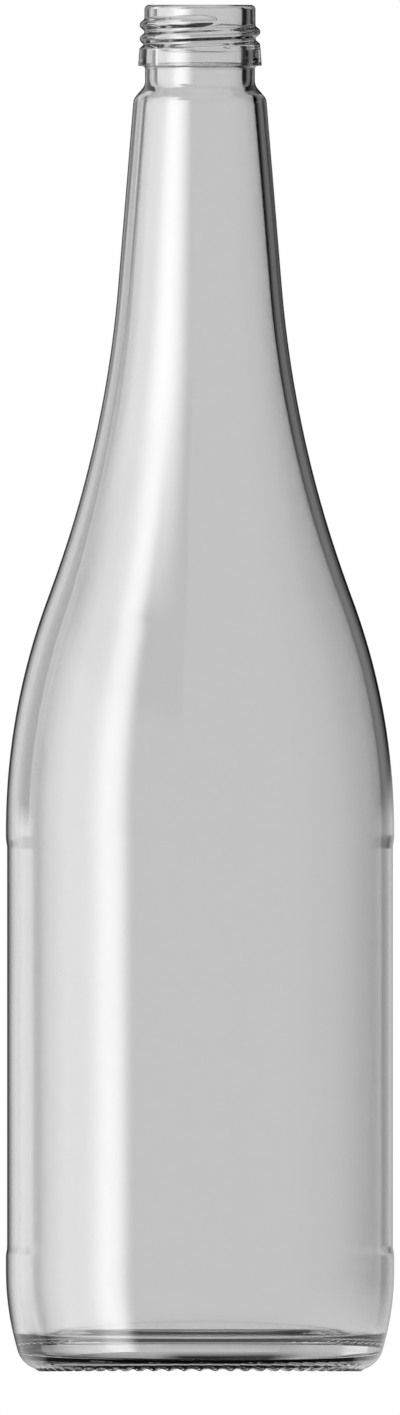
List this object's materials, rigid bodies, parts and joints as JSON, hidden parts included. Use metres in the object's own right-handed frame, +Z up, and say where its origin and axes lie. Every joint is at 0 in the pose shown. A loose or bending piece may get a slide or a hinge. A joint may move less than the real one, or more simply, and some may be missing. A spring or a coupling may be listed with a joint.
{
  "type": "glass beverage bottle",
  "caption": "Empty clear glass beverage bottle with a long conical neck, a screw-thread mouth above a carrying bead, a shallow label panel and a knurled base.",
  "frame": {"origin": "centre of the base, at the height of the crests of the base ridges that the bottle stands on", "axes": "+Z up along the bottle's axis, base to mouth; -Y is the front, where the top end of the thread lies; +X is to the right seen from the front"},
  "size_m": [0.0884, 0.0884, 0.311],
  "materials": {
    "flint_glass": "fire-polished gloss"
  },
  "bodies": {
    "root": {"bottle": "flint_glass"}
  },
  "joints": []
}
